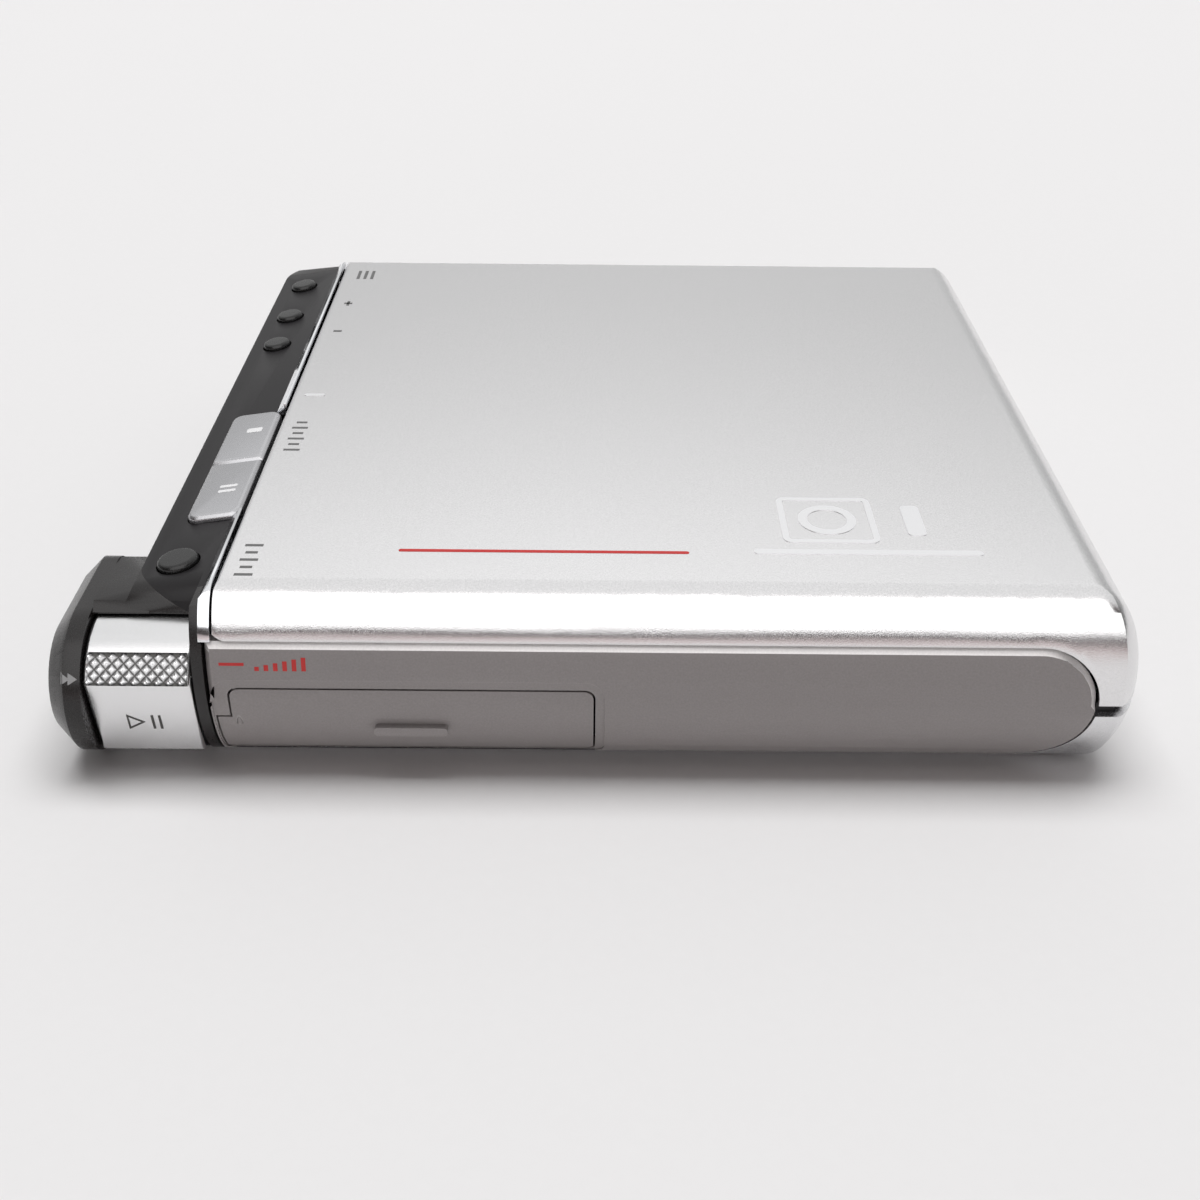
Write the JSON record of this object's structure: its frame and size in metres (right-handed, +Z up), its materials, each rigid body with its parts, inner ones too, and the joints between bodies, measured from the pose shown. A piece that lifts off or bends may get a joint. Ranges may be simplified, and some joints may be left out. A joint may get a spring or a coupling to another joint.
{
  "type": "portable minidisc recorder",
  "caption": "Flat pocket disc recorder with a hinged silver lid, disc holder, jog ring, sloped button deck, battery door and rear sockets.",
  "frame": {"origin": "middle of the case's flat base, jog housing not counted", "axes": "+X along the near edge from the controls to the mouth of the disc bay, +Y to the sockets, +Z up"},
  "size_m": [0.0889, 0.0822, 0.0166],
  "materials": {
    "lid_silver": "satin, fine bead-blasted sparkle",
    "case_silver": "satin silver paint",
    "panel_grey": "smooth satin warm grey",
    "housing_black": "semi-gloss",
    "plate_black": "fine matt grain",
    "trim_chrome": "polished",
    "ring_silver": "satin with a cut knurl",
    "button_black": "satin",
    "button_silver": "satin silver",
    "slider_grey": "ribbed matt",
    "window_dark": "glossy dark window",
    "display_grey": "matt",
    "steel": "turned",
    "sheet_steel": "pressed sheet",
    "motor_steel": "drawn can",
    "mechanism_black": "matt",
    "lens_clear": "polished",
    "board_green": "solder resist",
    "chip_black": "moulded",
    "contact_gold": "plated",
    "battery_skin": "satin sleeve",
    "socket_black": "moulded",
    "foot_rubber": "matt"
  },
  "bodies": {
    "case": {"bottom_cover": "case_silver", "case_feet": "foot_rubber", "front_panel": "panel_grey", "rear_panel": "panel_grey", "control_housing": "housing_black", "control_plate": "plate_black", "edge_trim": "trim_chrome", "switch_board": "board_green", "dome_switches": "contact_gold", "display_window": "window_dark", "display_module": "display_grey", "hinge_pins": "steel", "chassis_plate": "sheet_steel", "spindle_motor": "motor_steel", "guide_rods": "steel", "rod_brackets": "steel", "sled_motor": "motor_steel", "main_board": "board_green", "board_chips": "chip_black", "battery_pack": "battery_skin", "battery_terminal": "mechanism_black", "battery_contacts": "contact_gold", "headphone_jack": "socket_black", "line_jack": "socket_black", "microphone_jack": "socket_black", "data_socket": "socket_black", "case_screws": "steel", "bay_rim": "plate_black", "battery_door_pin": "steel"},
    "lid": {"lid_cover": "lid_silver", "lid_liner": "plate_black"},
    "holder": {"disc_holder": "sheet_steel", "holder_roof": "sheet_steel"},
    "head_arm": {"magnet_head_arm": "sheet_steel"},
    "sled": {"pickup_sled": "mechanism_black", "objective_lens": "lens_clear"},
    "lead_screw": {"lead_screw": "steel"},
    "turntable": {"turntable": "mechanism_black"},
    "battery_door": {"battery_door": "panel_grey"},
    "mark_button": {"mark_button": "button_black"},
    "volume_down_button": {"volume_down_button": "button_black"},
    "volume_up_button": {"volume_up_button": "button_black"},
    "menu_button": {"menu_button": "button_black"},
    "pause_button": {"pause_button": "button_silver"},
    "stop_button": {"stop_button": "button_silver"},
    "hold_slider": {"hold_slider": "slider_grey"},
    "record_slider": {"record_slider": "slider_grey"},
    "open_latch": {"open_slider": "slider_grey", "latch_hook": "slider_grey"},
    "jog_carrier": {"jog_axle": "steel"},
    "jog_ring": {"jog_ring": "ring_silver"}
  },
  "joints": [
    {"name": "lid_hinge", "type": "hinge", "parent": "case", "child": "lid", "pos_m": [-0.0315, 0, 0.0149], "axis": [0, -1, 0], "range_deg": [0, 20]},
    {"name": "holder_hinge", "type": "hinge", "parent": "case", "child": "holder", "pos_m": [-0.0315, 0, 0.0149], "axis": [0, -1, 0], "range_deg": [0, 10]},
    {"name": "head_arm_hinge", "type": "hinge", "parent": "sled", "child": "head_arm", "pos_m": [-0.0315, 0.0145, 0.0149], "axis": [0, -1, 0], "range_deg": [0, 15]},
    {"name": "sled_slide", "type": "slide", "parent": "case", "child": "sled", "axis": [0, 1, 0], "range_m": [0, 0.015]},
    {"name": "lead_screw_spin", "type": "hinge", "parent": "case", "child": "lead_screw", "pos_m": [-0.0097, 0, 0.004], "axis": [0, 1, 0], "range_deg": [0, 1800]},
    {"name": "turntable_spin", "type": "hinge", "parent": "case", "child": "turntable", "pos_m": [0.0048, 0, 0], "axis": [0, 0, 1], "continuous": true},
    {"name": "battery_door_hinge", "type": "hinge", "parent": "case", "child": "battery_door", "pos_m": [-0.0316, -0.03988, 0.0072], "axis": [0, 0, -1], "range_deg": [0, 90]},
    {"name": "mark_button_press", "type": "slide", "parent": "case", "child": "mark_button", "axis": [0.1495, 0, -0.9888], "range_m": [0, 0.00035], "stiffness_N_per_m": 1200, "springref_m": -0.0001},
    {"name": "volume_down_button_press", "type": "slide", "parent": "case", "child": "volume_down_button", "axis": [0.1495, 0, -0.9888], "range_m": [0, 0.00035], "stiffness_N_per_m": 1200, "springref_m": -0.0001},
    {"name": "volume_up_button_press", "type": "slide", "parent": "case", "child": "volume_up_button", "axis": [0.1495, 0, -0.9888], "range_m": [0, 0.00035], "stiffness_N_per_m": 1200, "springref_m": -0.0001},
    {"name": "menu_button_press", "type": "slide", "parent": "case", "child": "menu_button", "axis": [0.1495, 0, -0.9888], "range_m": [0, 0.00035], "stiffness_N_per_m": 1200, "springref_m": -0.0001},
    {"name": "pause_button_press", "type": "slide", "parent": "case", "child": "pause_button", "axis": [0.1495, 0, -0.9888], "range_m": [0, 0.00035], "stiffness_N_per_m": 1200, "springref_m": -0.0001},
    {"name": "stop_button_press", "type": "slide", "parent": "case", "child": "stop_button", "axis": [0.1495, 0, -0.9888], "range_m": [0, 0.00035], "stiffness_N_per_m": 1200, "springref_m": -0.0001},
    {"name": "hold_slide", "type": "slide", "parent": "case", "child": "hold_slider", "axis": [0, 1, 0], "range_m": [0, 0.0025]},
    {"name": "record_slide", "type": "slide", "parent": "case", "child": "record_slider", "axis": [0, 1, 0], "range_m": [0, 0.0025]},
    {"name": "open_slide", "type": "slide", "parent": "case", "child": "open_latch", "axis": [-1, 0, 0], "range_m": [0, 0.0025], "stiffness_N_per_m": 400, "springref_m": -0.0005},
    {"name": "jog_push", "type": "slide", "parent": "case", "child": "jog_carrier", "axis": [0, 1, 0], "range_m": [0, 0.0005], "stiffness_N_per_m": 1500, "springref_m": -0.0001},
    {"name": "jog_turn", "type": "hinge", "parent": "jog_carrier", "child": "jog_ring", "pos_m": [-0.03925, -0.0356, 0.0064], "axis": [1, 0, 0], "range_deg": [-15, 15], "stiffness_Nm_per_rad": 0.02}
  ],
  "couplings": [
    {"joint": "holder_hinge", "follows": "lid_hinge", "ratio": 0.5},
    {"joint": "head_arm_hinge", "follows": "lid_hinge", "ratio": 0.75},
    {"joint": "lead_screw_spin", "follows": "sled_slide", "rad_per_m": 2094.4}
  ]
}
